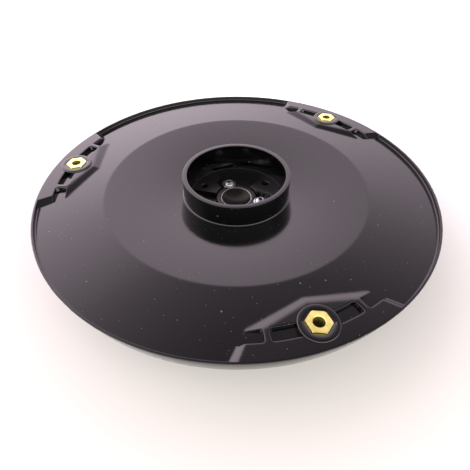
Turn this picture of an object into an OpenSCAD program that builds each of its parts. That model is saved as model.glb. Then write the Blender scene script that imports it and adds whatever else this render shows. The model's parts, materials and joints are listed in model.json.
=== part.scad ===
// Disc head of a pressure-fed surface cleaner: a dished, moulded deck with a socket collar, three
// brass thread inserts on its rim and, below the hub, a swivel with a two-armed spray rotor.
// Millimetres, +Z up. The origin is on the surface the head stands on, under the hub.

/* [Deck] */
// Outer diameter of the deck
disc_d = 300; // [290:1:310]
// Height of the rim's top above the ground
rim_top = 40; // [39:0.5:42]
// Thickness of the moulded skin
skin = 3; // [2.5:0.5:3.5]
// Height of the skirt below the rim's top
skirt_h = 14; // [12:0.5:15]
// How far the skirt leans in towards its lower edge
skirt_lean = 4.1; // [2:0.1:5]
// Depth of the deck below the rim at its outer edge
rim_h = 3.5; // [2.5:0.5:4.5]

/* [Collar] */
// Outer diameter of the socket collar
collar_d = 82.4; // [82:0.1:83]
// Height of the collar's edge above the rim
collar_rise = 8.9; // [6:0.1:14]
// Wall thickness of the collar
collar_wall = 3.5; // [3:0.1:3.7]
// Depth of the hub floor below the rim
floor_drop = 18; // [17.5:0.5:18]

/* [Rim pads] */
// Radius on which the thread inserts lie
insert_r = 133.8; // [133:0.1:134.5]
// Direction of the first insert, from +X
insert_az = -70.74; // [-180:0.01:180]
// Width of an insert's hexagon across its corners
insert_hex = 15.7; // [15:0.1:16.2]
// Inner edge of the pockets in a pad
pocket_in = 130.3; // [129.5:0.1:131]
// Outer edge of the pockets in a pad
pocket_out = 138.3; // [137.5:0.1:139]

/* [Hub floor] */
// Radius on which the open flange holes lie
flange_hole_r = 29.3; // [28.5:0.1:30]
// Direction of the first flange hole
flange_hole_az = 33.5; // [20:0.5:45]
// Radius on which the hub screws lie
hub_screw_r = 19.7; // [19.5:0.1:20]
// Direction of the first hub screw
hub_screw_az = 108; // [105:0.5:111]

/* [Spray rotor] */
// Radius on which the nozzles run
nozzle_r = 112; // [95:1:120]
// Angle by which the arms rise outwards
arm_rise = 5.4; // [4.5:0.1:6.5]
// Direction of the arms at rest
rotor_az = 24; // [0:1:180]

/* [Hidden] */

$fn = 96;
eps = 0.01;
round_gap = 0.05;         // radial clearance of a running fit

// Deck
disc_r = disc_d / 2;
lip_w = 1.7;
crease_r = 100.5;         // where the dished middle meets the flat outer zone
crease_drop = 1.2;
cone_drop = 8.5;          // depth of the dished middle at the collar
collar_r = collar_d / 2;
collar_in = collar_r - collar_wall;
collar_top = rim_top + collar_rise;
collar_stop = rim_top - 13;   // shoulder inside the collar, on which an adapter's spigot stops
collar_stop_r = collar_in - 0.7;
base_fillet = 1.2;
well_r = collar_r + 0.7;  // outside of the hub well below the deck
floor_top = rim_top - floor_drop;
floor_low = floor_top - skin;

// Rim pads
pad_in = 119.3;           // nearest point of a pad's flat top to the axis
pad_kink = 14.4;          // how far each wing of a pad swings back from the tangent
pad_slope = 31;           // steepness of a pad's sides
wing_tip = [131, 41.2];   // inner corner of a wing's end, out along the radius and sideways
wing_turn = 49;           // direction in which a wing's end face looks back, from the radius
boss_r = 12.2;
boss_rise = 1;
rib_from = 11.7;          // angles of the rib that parts the pockets, from the insert
rib_to = 13.3;
column_r = 9;
column_low = rim_top - 12.6;
insert_rise = 1.5;
insert_head = 4;
insert_body_r = 5.5;
insert_len = 12.5;
m8_core_r = 3.4;
insert_turns = [-5.5, -11.4, 14.4];

// Hub floor
ring_in = 12.7;
ring_out = 16;
ring_top = rim_top - 15;
block_top = rim_top - 13.5;
block_in = 16.5;
block_back = 36;          // a block's reach behind and ahead of its flange hole, in degrees
block_ahead = 14;
screw_pocket_r = 9.5;
screw_seat = floor_top + 1.6;
screw_hole_r = 2.6;
m5_r = 2.5;
seat_r = 6.2;
washer_r = 5.6;
washer_t = 0.6;
screw_head_r = 4.6;
screw_dome = 5.5;         // radius of the sphere that a screw's head is part of
flange_hole = 2.75;

// Swivel
gasket_t = 0.8;
flange_r = 25;
flange_low = floor_low - 5.3;
housing_r = 19;
housing_low = 7.8;
spigot_r = 12.5;
spigot_top = ring_top - 0.5;
seal_bore = 11;
plug_r = 10.9;
plug_h = 4;
plug_lip = 0.5;           // thickness of the plug's edge, on top of the swivel's spigot
plug_groove = 2.2;
plug_dish_r = 11.6;
plug_dish_h = 2.7;
bearing_r = 15;
bearing_w = 7;
bearing_low = 9.4;
spindle_r = 8.5;
spindle_bore = 5;
ball_r = 2;
ball_n = 10;
pitch_r = 11.75;
cage_t = 2.6;

// Spray rotor
manifold_r = 20;
manifold_low = 1.6;
manifold_top = 7.5;
arm_r = 2.5;
arm_bore = 1.7;
arm_in = 5;               // length of an arm inside the manifold
arm_run = (nozzle_r - manifold_r) / cos(arm_rise); // manifold's face to nozzle's axis
arm_z = 4.8;              // height of an arm's middle where it leaves the manifold
gland_af = 8;
holder_r = 6.5;
holder_low = arm_z + (nozzle_r - manifold_r) * tan(arm_rise) - 7;
holder_top = holder_low + 14;
nozzle_thread_r = 3;
nozzle_stem = 4;
belly_screw_at = 14.5;    // radius on which the belly plate's screws lie
belly_screw_r = 1.3;
belly_head_r = 2.9;
belly_r = 19.8;

// Points of an arc about c with radius r, from angle a to angle b
function arc(c, r, a, b, n = 6) = [for (i = [0:n]) c + r * [cos(a + (b - a) * i / n),
    sin(a + (b - a) * i / n)]];

module turn3(az) {
    for (k = [0:2]) rotate([0, 0, az + 120 * k]) children();
}

module ring(r_in, r_out, low, high) {
    translate([0, 0, low]) difference() {
        cylinder(h = high - low, r = r_out);
        translate([0, 0, -1]) cylinder(h = high - low + 2, r = r_in);
    }
}

// A ring sector between two angles less than 180 degrees apart
module sector(r_in, r_out, low, high, a, b) {
    far = r_out / cos((b - a) / 2) + 1;
    intersection() {
        ring(r_in, r_out, low, high);
        translate([0, 0, low - 1]) linear_extrude(high - low + 2)
            polygon([[0, 0], far * [cos(a), sin(a)], far * [cos((a + b) / 2), sin((a + b) / 2)],
                far * [cos(b), sin(b)]]);
    }
}

// ---- Deck ----

// Everything below a plane that meets the pad's top in a line through p with inward direction az
module below_slope(p, az) {
    big = 200;
    translate([p[0], p[1], rim_top]) rotate([0, 0, az]) rotate([0, -pad_slope, 0])
        translate([-big / 2, -big / 2, -big]) cube(big);
}

// Three winged pads, each a wedge pointing at the axis, flush with the rim
module pads() {
    turn3(insert_az) intersection() {
        pad_blank();
        pad_cuts();
    }
}

module pad_blank() {
    difference() {
        ring(112, disc_r - lip_w / 2, rim_top - 4.4, rim_top);
        for (s = [0, 1]) mirror([0, s, 0]) {
            sector(pocket_in, pocket_out, rim_top - 5, rim_top + 1, 2, rib_from);
            sector(pocket_in, pocket_out, rim_top - 5, rim_top + 1, rib_to, 24);
        }
    }
}

module pad_cuts() {
    intersection() {
        below_slope([pad_in, 0], pad_kink);
        below_slope([pad_in, 0], -pad_kink);
        below_slope(wing_tip, -wing_turn);
        below_slope([wing_tip[0], -wing_tip[1]], wing_turn);
    }
}

module deck_section() {
    cone_z = rim_top - cone_drop;
    edge_r = disc_r - lip_w;
    polygon(concat(
        [[ring_in, floor_low], [ring_in, floor_top], [collar_stop_r, floor_top],
            [collar_stop_r, collar_stop], [collar_in, collar_stop], [collar_in, collar_top]],
        [[collar_r - 0.4, collar_top], [collar_r, collar_top - 0.4]],
        arc([collar_r + base_fillet, cone_z + base_fillet], base_fillet, 180, 270),
        [[crease_r, rim_top - crease_drop], [edge_r - 0.8, rim_top - rim_h],
            [edge_r, rim_top - rim_h + 0.8], [edge_r, rim_top], [disc_r - 0.3, rim_top],
            [disc_r, rim_top - 0.3], [disc_r - skirt_lean, rim_top - skirt_h],
            [disc_r - skirt_lean - 2.2, rim_top - skirt_h],
            [disc_r - 4.6, rim_top - rim_h - skin],
            [crease_r, rim_top - crease_drop - skin],
            [well_r, cone_z - skin + 0.2], [well_r, floor_low]]));
}

// The raised block beside each screw that carries an open flange hole
module floor_block() {
    sector(block_in, collar_stop_r + 0.5, floor_top - 1, block_top, -block_back, block_ahead);
}

module deck() {
    color([0.06, 0.055, 0.065]) difference() {
        union() {
            rotate_extrude($fn = 180) deck_section();
            pads();
            turn3(insert_az) translate([insert_r, 0, 0]) {
                translate([0, 0, rim_top - 4.4]) cylinder(h = 4.4 + boss_rise, r = boss_r);
                translate([0, 0, column_low])
                    cylinder(h = rim_top - 4 - column_low, r = column_r);
            }
            ring(ring_in, ring_out, floor_top - 1, ring_top);
            difference() {
                turn3(flange_hole_az) floor_block();
                turn3(hub_screw_az) translate([hub_screw_r, 0, floor_top])
                    cylinder(h = 20, r = screw_pocket_r);
            }
            turn3(hub_screw_az) translate([hub_screw_r, 0, floor_top - 1])
                cylinder(h = screw_seat - floor_top + 1, r = seat_r);
        }
        translate([0, 0, floor_low - 1]) cylinder(h = 20, r = ring_in);
        turn3(flange_hole_az) translate([flange_hole_r, 0, floor_low - 1])
            cylinder(h = 20, r = flange_hole);
        turn3(hub_screw_az) translate([hub_screw_r, 0, 0]) {
            translate([0, 0, floor_low - 1]) cylinder(h = 20, r = screw_hole_r);
            translate([0, 0, screw_seat]) cylinder(h = 20, r = washer_r + 0.3);
        }
        insert_places() {
            translate([0, 0, rim_top + insert_rise - insert_head])
                cylinder(h = 10, r = insert_hex / 2, $fn = 6);
            translate([0, 0, column_low - 1]) cylinder(h = 20, r = insert_body_r);
        }
    }
}

module insert_places() {
    for (k = [0:2]) rotate([0, 0, insert_az + 120 * k]) translate([insert_r, 0, 0])
        rotate([0, 0, insert_turns[k] - insert_az - 120 * k]) children();
}

module thread_inserts() {
    head_low = rim_top + insert_rise - insert_head;
    color([0.86, 0.68, 0.28]) insert_places() difference() {
        union() {
            intersection() {
                translate([0, 0, head_low])
                    cylinder(h = insert_head, r = insert_hex / 2, $fn = 6);
                translate([0, 0, head_low]) rotate_extrude()
                    polygon([[0, 0], [9, 0], [9, insert_head - 1], [6.9, insert_head],
                        [0, insert_head]]);
            }
            translate([0, 0, rim_top + insert_rise - insert_len])
                cylinder(h = insert_len - insert_head + eps, r = insert_body_r);
        }
        translate([0, 0, rim_top - insert_len]) cylinder(h = 20, r = m8_core_r);
    }
}

// ---- Hub fastenings and inlet ----

module hub_screws() {
    head_low = screw_seat + washer_t;
    dome_low = asin(sqrt(1 - pow(screw_head_r / screw_dome, 2)));
    color([0.55, 0.55, 0.56]) turn3(hub_screw_az) translate([hub_screw_r, 0, 0])
        difference() {
            union() {
                translate([0, 0, flange_low + 0.6])
                    cylinder(h = head_low - flange_low - 0.6 + eps, r = m5_r - 0.4);
                translate([0, 0, head_low]) rotate_extrude()
                    polygon(concat([[0, 0], [screw_head_r, 0]],
                        arc([0, -screw_dome * sin(dome_low)], screw_dome, dome_low, 90, 8)));
            }
            translate([0, 0, head_low + 0.7]) cylinder(h = 3, r = 1.7, $fn = 6);
        }
}

module screw_washers() {
    color([0.62, 0.62, 0.63]) turn3(hub_screw_az) translate([hub_screw_r, 0, 0])
        ring(m5_r + 0.15, washer_r, screw_seat, screw_seat + washer_t);
}

// A dished metal plug with a thin rolled edge, closing the swivel's top port
module inlet_plug() {
    dish_r = (plug_dish_r * plug_dish_r + plug_dish_h * plug_dish_h) / 2 / plug_dish_h;
    dish_end = asin(plug_dish_r / dish_r);
    color([0.42, 0.41, 0.38]) translate([0, 0, spigot_top + plug_lip]) rotate_extrude()
        polygon(concat([[0, -plug_h], [plug_r, -plug_h], [plug_r, -plug_groove - 1.2],
            [plug_r - 1, -plug_groove - 1.2], [plug_r - 1, -plug_groove],
            [plug_r, -plug_groove], [plug_r, -plug_lip], [spigot_r, -plug_lip],
            [spigot_r, -0.1], [spigot_r - 0.3, 0.2], [plug_dish_r, 0]],
            arc([0, dish_r - plug_dish_h], dish_r, dish_end - 90, -90, 10)));
}

module plug_o_ring() {
    color([0.05, 0.05, 0.05]) translate([0, 0, spigot_top + plug_lip - plug_groove - 0.6])
        ring(plug_r - 1, seal_bore, -0.5, 0.5);
}

// ---- Swivel ----

module swivel_housing() {
    low = floor_low - gasket_t;
    bearing_top = bearing_low + bearing_w;
    color([0.72, 0.73, 0.74]) difference() {
        union() {
            translate([0, 0, housing_low]) cylinder(h = low - housing_low, r = housing_r);
            translate([0, 0, flange_low]) cylinder(h = low - flange_low, r = flange_r);
            translate([0, 0, low - 1]) cylinder(h = spigot_top - low + 1, r = spigot_r);
        }
        translate([0, 0, housing_low - 1])
            cylinder(h = bearing_top - housing_low + 1, r = bearing_r);
        translate([0, 0, bearing_top - 1]) cylinder(h = 20, r = seal_bore);
        // groove of the snap ring that holds the bearing
        translate([0, 0, housing_low + 0.4])
            cylinder(h = bearing_low - housing_low - 0.4, r = bearing_r + 0.8);
        turn3(hub_screw_az) translate([hub_screw_r, 0, flange_low + 0.6])
            cylinder(h = 20, r = m5_r - 0.4);
    }
}

module housing_gasket() {
    color([0.08, 0.08, 0.08]) difference() {
        ring(spigot_r, flange_r, floor_low - gasket_t, floor_low);
        turn3(hub_screw_az) translate([hub_screw_r, 0, 0]) cylinder(h = 60, r = m5_r + 0.2);
    }
}

module spindle_seal() {
    color([0.07, 0.07, 0.07])
        ring(spindle_r + round_gap, seal_bore, bearing_low + bearing_w + 0.3, floor_top - 1.6);
}

// A race between two radii, with the ball track cut into it
module race(r_a, r_b) {
    mid = bearing_low + bearing_w / 2;
    difference() {
        ring(r_a, r_b, bearing_low, bearing_low + bearing_w);
        translate([0, 0, mid]) rotate_extrude() translate([pitch_r, 0])
            circle(r = ball_r + round_gap, $fn = 48);
    }
}

module bearing_outer_race() {
    color([0.75, 0.75, 0.77]) race(pitch_r + 1.3, bearing_r);
}

module bearing_inner_race() {
    color([0.75, 0.75, 0.77]) race(spindle_r, pitch_r - 1.3);
}

module bearing_balls() {
    color([0.85, 0.85, 0.87]) for (k = [0:ball_n - 1]) rotate([0, 0, 360 * k / ball_n])
        translate([pitch_r, 0, bearing_low + bearing_w / 2]) sphere(r = ball_r, $fn = 48);
}

module bearing_cage() {
    mid = bearing_low + bearing_w / 2;
    color([0.7, 0.55, 0.3]) difference() {
        ring(pitch_r - 0.8, pitch_r + 0.8, mid - cage_t, mid + cage_t);
        for (k = [0:ball_n - 1]) rotate([0, 0, 360 * k / ball_n])
            translate([pitch_r, 0, mid]) sphere(r = ball_r + 0.02, $fn = 48);
    }
}

module housing_snap_ring() {
    color([0.3, 0.3, 0.31]) difference() {
        ring(bearing_r - 1.2, bearing_r + 0.8, housing_low + 0.4, bearing_low);
        translate([bearing_r - 4, -3, housing_low]) cube([6, 6, 3]);
    }
}

// ---- Spray rotor ----

module spindle() {
    color([0.68, 0.69, 0.71]) difference() {
        ring(spindle_bore, spindle_r, manifold_low + 1.2, floor_top - 1.4);
        both_arms() arm_frame() translate([0, 0, -18]) cylinder(h = 10, r = arm_bore);
    }
}

// Shoulder ring pressed on the spindle, under the inner race
module spindle_collar() {
    color([0.6, 0.61, 0.63])
        ring(spindle_r, spindle_r + 1.7, manifold_top, bearing_low);
}

// An arm's own frame: +X along the arm, which rises outwards
module arm_frame() {
    translate([manifold_r, 0, arm_z]) rotate([0, -arm_rise, 0]) rotate([0, 90, 0]) children();
}

module both_arms() {
    for (k = [0, 1]) rotate([0, 0, rotor_az + 180 * k]) children();
}

module manifold() {
    color([0.7, 0.71, 0.73]) difference() {
        translate([0, 0, manifold_low])
            cylinder(h = manifold_top - manifold_low, r = manifold_r);
        // seat of the spindle, and a groove for its ring seal
        translate([0, 0, manifold_low + 1.2]) cylinder(h = 20, r = spindle_r);
        translate([0, 0, manifold_top - 1.2]) cylinder(h = 5, r = spindle_r + 1.2);
        both_arms() arm_frame() {
            translate([0, 0, -arm_in]) cylinder(h = 20, r = arm_r);
            translate([0, 0, -14]) cylinder(h = 20, r = arm_bore);
        }
        turn3(rotor_az + 30) translate([belly_screw_at, 0, manifold_low - 1])
            cylinder(h = 5, r = belly_screw_r);
    }
}

module manifold_o_ring() {
    color([0.05, 0.05, 0.05])
        ring(spindle_r, spindle_r + 1.2, manifold_top - 1.2, manifold_top);
}

module spray_arm(k) {
    color([0.76, 0.77, 0.79]) rotate([0, 0, rotor_az + 180 * k]) difference() {
        arm_frame() translate([0, 0, -arm_in]) cylinder(h = arm_run + arm_in - 3, r = arm_r);
        arm_frame() translate([0, 0, -20]) cylinder(h = 200, r = arm_bore);
    }
}

module spray_arm_a() {
    spray_arm(0);
}

module spray_arm_b() {
    spray_arm(1);
}

module gland_nuts() {
    color([0.83, 0.66, 0.28]) both_arms() difference() {
        arm_frame() translate([0, 0, 0.6])
            cylinder(h = 6, r = gland_af / 2 / cos(30), $fn = 6);
        arm_frame() cylinder(h = 60, r = arm_r);
    }
}

module nozzle_holders() {
    color([0.72, 0.73, 0.75]) both_arms() difference() {
        translate([nozzle_r, 0, holder_low]) cylinder(h = holder_top - holder_low, r = holder_r);
        arm_frame() translate([0, 0, arm_run - 20]) cylinder(h = 17, r = arm_r);
        arm_frame() translate([0, 0, arm_run - 20]) cylinder(h = 20, r = arm_bore);
        translate([nozzle_r, 0, holder_low - 1]) cylinder(h = 8, r = nozzle_thread_r);
    }
}

module lock_nuts() {
    color([0.83, 0.66, 0.28]) both_arms() difference() {
        arm_frame() translate([0, 0, arm_run - holder_r - 6])
            cylinder(h = 4.5, r = 5.2, $fn = 6);
        arm_frame() cylinder(h = 140, r = arm_r);
    }
}

module spray_nozzles() {
    color([0.8, 0.8, 0.82]) both_arms() translate([nozzle_r, 0, holder_low]) difference() {
        union() {
            translate([0, 0, -4]) cylinder(h = 4, r = 4.9, $fn = 6);
            translate([0, 0, -5.5]) cylinder(h = 1.6, r = 2.6);
            cylinder(h = nozzle_stem, r = nozzle_thread_r);
        }
        translate([0, 0, -4.6]) cylinder(h = 12, r = 1.4);
        translate([0, 0, -7]) cylinder(h = 4, r = 0.6);
        translate([0, 0, -5.5]) rotate([0, 0, 20]) translate([-3, -0.5, -0.6]) cube([6, 1, 1]);
    }
}

// Wear plate under the manifold, on which the head stands
module belly_plate() {
    color([0.1, 0.1, 0.11]) difference() {
        rotate_extrude() polygon([[0, 0], [belly_r - 1.4, 0], [belly_r, 0.9],
            [belly_r, manifold_low], [0, manifold_low]]);
        turn3(rotor_az + 30) translate([belly_screw_at, 0, 0]) {
            translate([0, 0, -1]) cylinder(h = 5, r = belly_screw_r + 0.3);
            translate([0, 0, -eps]) cylinder(h = 0.9, r = belly_head_r + 0.2);
        }
    }
}

module belly_screws() {
    length = manifold_low + 2.2;
    color([0.6, 0.6, 0.62]) turn3(rotor_az + 30) translate([belly_screw_at, 0, 0.2])
        difference() {
            union() {
                cylinder(h = 0.65, r = belly_head_r);
                cylinder(h = length, r = belly_screw_r);
            }
            translate([0, 0, -0.6]) cylinder(h = 1.4, r = 1, $fn = 6);
        }
}

deck();
thread_inserts();
hub_screws();
screw_washers();
swivel_housing();
housing_gasket();
inlet_plug();
plug_o_ring();
spindle_seal();
bearing_outer_race();
housing_snap_ring();
bearing_balls();
bearing_cage();
bearing_inner_race();
spindle();
spindle_collar();
manifold();
manifold_o_ring();
spray_arm_a();
spray_arm_b();
gland_nuts();
nozzle_holders();
lock_nuts();
spray_nozzles();
belly_plate();
belly_screws();
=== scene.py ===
"""Looks of a surface cleaner's disc head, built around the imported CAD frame.

Lengths are in millimetres inside the sub-assembly classes and become metres in Mesher.build.
"""

import sys
import json
import logging
import math
from dataclasses import dataclass, field
from enum import Enum
from typing import Callable, Sequence

import bpy
import numpy as np
from mathutils import Euler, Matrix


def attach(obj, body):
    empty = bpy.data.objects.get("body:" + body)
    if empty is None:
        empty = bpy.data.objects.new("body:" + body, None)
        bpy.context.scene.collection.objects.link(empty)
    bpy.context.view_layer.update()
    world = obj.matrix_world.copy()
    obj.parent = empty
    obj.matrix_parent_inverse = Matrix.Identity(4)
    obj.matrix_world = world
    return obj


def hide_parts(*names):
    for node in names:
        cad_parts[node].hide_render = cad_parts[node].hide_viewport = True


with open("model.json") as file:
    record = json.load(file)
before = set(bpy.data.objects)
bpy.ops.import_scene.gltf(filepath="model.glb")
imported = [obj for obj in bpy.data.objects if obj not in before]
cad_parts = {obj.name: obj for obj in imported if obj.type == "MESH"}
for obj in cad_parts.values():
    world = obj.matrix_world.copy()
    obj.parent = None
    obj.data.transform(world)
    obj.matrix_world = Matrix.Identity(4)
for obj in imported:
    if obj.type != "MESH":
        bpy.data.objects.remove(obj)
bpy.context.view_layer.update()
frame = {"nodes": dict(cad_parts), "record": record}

MM = 0.001
TURN = 2 * math.pi
Colour = tuple[float, float, float]
Array = np.ndarray
log = logging.getLogger("surface_cleaner")


# ---- Meshes -------------------------------------------------------------------------------------


class Mesher:
    """Collects rings and grids of points, and the faces between them, for one mesh."""

    def __init__(self) -> None:
        """Starts with no points and no faces."""
        self.points: list[Array] = []
        self.faces: list[Array] = []
        self.count = 0

    def add(self, points: Array) -> Array:
        """Adds points.

        Args:
            points: Array of shape (..., 3), in millimetres.

        Returns:
            The points' numbers, in the shape of the array without its last axis.
        """
        flat = np.asarray(points, float).reshape(-1, 3)
        numbers = self.count + np.arange(len(flat))
        self.points.append(flat)
        self.count += len(flat)
        return numbers.reshape(np.shape(points)[:-1])

    def skin(self, numbers: Array, keep: Array | None = None) -> None:
        """Puts quads between the rows of a grid whose rows are closed rings.

        Args:
            numbers: Point numbers, one row for each ring.
            keep: Which cells get a face; all of them if it is left out.
        """
        after = np.roll(numbers, -1, axis=1)
        quads = np.stack([numbers[:-1], numbers[1:], after[1:], after[:-1]], axis=-1)
        self.faces.append(quads[keep] if keep is not None else quads.reshape(-1, 4))

    def zip_rings(self, first: Array, first_at: Array, second: Array, second_at: Array) -> None:
        """Joins two rings with different numbers of points by a strip of triangles.

        Both rings run the same way round. Each edge of one ring takes the point of the other
        ring that is current at the edge's middle, when the middles of all edges are sorted.

        Args:
            first: Point numbers of the ring that comes first along the profile.
            first_at: Angles of its points, ascending, within one turn.
            second: Point numbers of the next ring.
            second_at: Angles of its points, ascending, within one turn.
        """
        for ring, at, other, other_at, flip in (
            (first, first_at, second, second_at, False),
            (second, second_at, first, first_at, True),
        ):
            mids = (at + np.append(at[1:], at[0] + TURN)) / 2
            other_mids = (other_at + np.append(other_at[1:], other_at[0] + TURN)) / 2
            reach = np.concatenate([other_mids - TURN, other_mids, other_mids + TURN])
            side = "right" if flip else "left"
            tip = other[(np.searchsorted(reach, mids, side=side) - len(other)) % len(other)]
            after = np.roll(ring, -1)
            corners = [ring, after, tip] if flip else [after, ring, tip]
            self.faces.append(np.stack(corners, axis=-1))

    def lathe(self, profile: Array, steps: int, place: Array | None = None,
              radius: Callable[[Array, Array, Array], Array] | None = None) -> None:
        """Turns a closed outline about the Z axis: x = r cos t, y = r sin t.

        The outline runs outwards on top and inwards below, so that faces point outwards.

        Args:
            profile: Radius and height of each corner of the outline.
            steps: How many steps make the full turn.
            place: A 4x4 matrix that puts the turned shape in its place.
            radius: Changes the radius, from the radii, heights and angles of the grid.
        """
        turn = np.arange(steps) * TURN / steps
        loop = np.vstack([profile, profile[:1]])
        r, t = np.meshgrid(loop[:, 0], turn, indexing="ij")
        z = np.repeat(loop[:, 1:2], steps, axis=1)
        if radius is not None:
            r = radius(r, z, t)
        grid = np.stack([r * np.cos(t), r * np.sin(t), z], axis=-1)
        if place is not None:
            grid = grid @ place[:3, :3].T + place[:3, 3]
        numbers = self.add(grid[:-1])
        self.skin(np.vstack([numbers, numbers[:1]]))

    def lathe_all(self, profile: Array, steps: int, places: Sequence[Array],
                  radius: Callable[[Array, Array, Array], Array] | None = None) -> "Mesher":
        """Turns the same outline in several places.

        Args:
            profile: Radius and height of each corner of the outline.
            steps: How many steps make the full turn.
            places: A 4x4 matrix for each place.
            radius: Changes the radius, as in lathe.

        Returns:
            This mesher.
        """
        for place in places:
            self.lathe(profile, steps, place, radius)
        return self

    def build(self, name: str, sharp: float = 40) -> bpy.types.Object:
        """Makes the mesh object, in metres, with touching points merged.

        Args:
            name: Name of the object.
            sharp: Edges that turn by more than this many degrees are shaded sharp.

        Returns:
            The new object, at the origin, in the scene's collection.
        """
        points = np.concatenate(self.points) * MM
        _, first, where = np.unique(np.round(points, 8), axis=0, return_index=True,
                                    return_inverse=True)
        where = where.reshape(-1)
        rows = []
        for block in self.faces:
            merged = where[block]
            if block.shape[1] == 4:
                same = merged == np.roll(merged, -1, axis=1)
                rows += merged[~same.any(axis=1)].tolist()
                for k in range(4):
                    only = same[:, k] & (same.sum(axis=1) == 1)
                    rows += np.delete(merged[only], k, axis=1).tolist()
            else:
                good = (merged != np.roll(merged, -1, axis=1)).all(axis=1)
                rows += merged[good].tolist()
        mesh = bpy.data.meshes.new(name)
        mesh.from_pydata(points[first].tolist(), [], rows)
        mesh.validate()
        mesh.polygons.foreach_set("use_smooth", np.ones(len(mesh.polygons), bool))
        mesh.set_sharp_from_angle(angle=math.radians(sharp))
        made = bpy.data.objects.new(name, mesh)
        bpy.context.scene.collection.objects.link(made)
        return made


def paint_recess_shade(piece: bpy.types.Object, centres: Sequence[tuple[float, float]], radius: float,
         between: tuple[float, float]) -> None:
    """Marks the points inside upright bores, where shade is painted, in a vertex attribute.

    Args:
        piece: The piece with the bores.
        centres: X and Y of each bore.
        radius: Points closer to a bore's axis than this are marked.
        between: Lowest and highest marked height.
    """
    flat = np.empty(len(piece.data.vertices) * 3)
    piece.data.vertices.foreach_get("co", flat)
    points = flat.reshape(-1, 3) / MM
    away = np.linalg.norm(points[:, None, :2] - np.array(centres), axis=-1).min(axis=1)
    marked = (away < radius) & (points[:, 2] > between[0]) & (points[:, 2] < between[1])
    # the marked points are later painted dark, as shade inside the bores
    recess_shade = piece.data.attributes.new("recess_shade", "FLOAT", "POINT")
    recess_shade.data.foreach_set("value", marked.astype(np.float32))


def smooth_min(a: Array, b: Array, reach: float) -> Array:
    """The lower of two heights, rounded where they are within reach of each other."""
    near = np.maximum(reach - np.abs(a - b), 0) / reach
    return np.minimum(a, b) - near * near * reach / 4


def smooth_max(a: Array, b: Array, reach: float) -> Array:
    """The higher of two heights, rounded where they are within reach of each other."""
    return -smooth_min(-a, -b, reach)


def rounded_step(inside: Array, rounding: float) -> Array:
    """How far a flat face has dropped near its edge, as a quarter circle.

    Args:
        inside: Distance in from the edge; below 0 it is outside.
        rounding: Radius of the quarter circle.

    Returns:
        The drop: 0 further in than the rounding, and the rounding at the edge.
    """
    near = np.clip(rounding - inside, 0, rounding)
    return rounding - np.sqrt(rounding * rounding - near * near)


def arc(centre: Sequence[float], radius: float, start: float, end: float, steps: int = 5) -> Array:
    """Points of an arc, from angle start to angle end in degrees, both ends included."""
    turn = np.radians(np.linspace(start, end, steps + 1))
    return np.stack([centre[0] + radius * np.cos(turn), centre[1] + radius * np.sin(turn)], -1)


def filleted(corners: Sequence[tuple[float, float, float]], steps: int = 4) -> Array:
    """A closed outline with each corner rounded by an arc.

    The arc's tangent points lie radius / tan(half the corner's angle) from the corner.

    Args:
        corners: Radius, height and rounding of each corner, in order.
        steps: How many steps each arc has.

    Returns:
        Radius and height of each point.
    """
    at = np.array([c[:2] for c in corners], float)
    out = []
    for k, (_, _, rounding) in enumerate(corners):
        here = at[k]
        back = at[k - 1] - here
        ahead = at[(k + 1) % len(at)] - here
        back /= np.linalg.norm(back)
        ahead /= np.linalg.norm(ahead)
        half = math.acos(float(np.clip(back @ ahead, -1, 1))) / 2
        if rounding <= 0 or half > math.radians(89):
            out.append(here[None])
            continue
        middle = back + ahead
        middle /= np.linalg.norm(middle)
        centre = here + middle * rounding / math.sin(half)
        begin = here + back * rounding / math.tan(half) - centre
        end = here + ahead * rounding / math.tan(half) - centre
        a = math.atan2(begin[1], begin[0])
        b = a + (math.atan2(end[1], end[0]) - a + math.pi) % TURN - math.pi
        out.append(arc(centre, rounding, math.degrees(a), math.degrees(b), steps))
    return np.vstack(out)


def turned(degrees: float, offset: Sequence[float] = (0, 0, 0), tilt: float = 0) -> Array:
    """A place: tilted about Y, then moved by an offset, then turned about Z.

    Args:
        degrees: Turn about Z.
        offset: Move before that turn.
        tilt: Tilt about Y, in degrees, before the move.

    Returns:
        The product of the three steps, as a 4x4 matrix.
    """
    made = np.eye(4)
    made[:3, :3] = np.array(Euler((0, math.radians(tilt), 0)).to_matrix())
    made[:3, 3] = offset
    spin = np.eye(4)
    spin[:3, :3] = np.array(Euler((0, 0, math.radians(degrees))).to_matrix())
    return spin @ made


def hexagon(across_flats: float, turn: Array) -> Array:
    """Radius of a hexagon at each angle, with a corner at angle 0."""
    step = TURN / 6
    return across_flats / 2 / np.cos((turn % step) - step / 2)


def corner_of(across_flats: float) -> float:
    """Radius of a hexagon at its corners."""
    return across_flats / 2 / math.cos(math.pi / 6)


@dataclass(frozen=True)
class Triad:
    """Three places 120 degrees apart on one circle."""

    radius: float
    start: float

    def angles(self) -> list[float]:
        """Directions of the three places, in degrees."""
        return [self.start + 120 * k for k in range(3)]

    def centres(self) -> list[tuple[float, float]]:
        """X and Y of the three places."""
        return [(self.radius * math.cos(math.radians(a)), self.radius * math.sin(math.radians(a)))
                for a in self.angles()]

    def places(self) -> list[Array]:
        """An upright frame at each of the three places."""
        return [turned(0, (*centre, 0)) for centre in self.centres()]

    def relative(self, degrees: Array) -> Array:
        """Angles from the nearest of the three places, between -60 and 60 degrees."""
        return (degrees - self.start + 60) % 120 - 60


INSERTS = Triad(133.8, -70.74)
FLANGE_HOLES = Triad(29.3, 33.5)
HUB_SCREWS = Triad(19.7, 108)
INSERT_TURNS = (-5.5, -11.4, 14.4)
INSERT_FLATS = 13.6
RIM_TOP = 40.0

# steps in a full turn
TUBE_TURN = 40
SMALL_TURN = 48
HEX_TURN = 72
PLUG_TURN = 120
DISC_TURN = 144

# edges that turn by more than this many degrees are shaded sharp
HARD_EDGE = 28
SOFT_EDGE = 35
DECK_EDGE = 55


# ---- Deck ---------------------------------------------------------------------------------------


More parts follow.
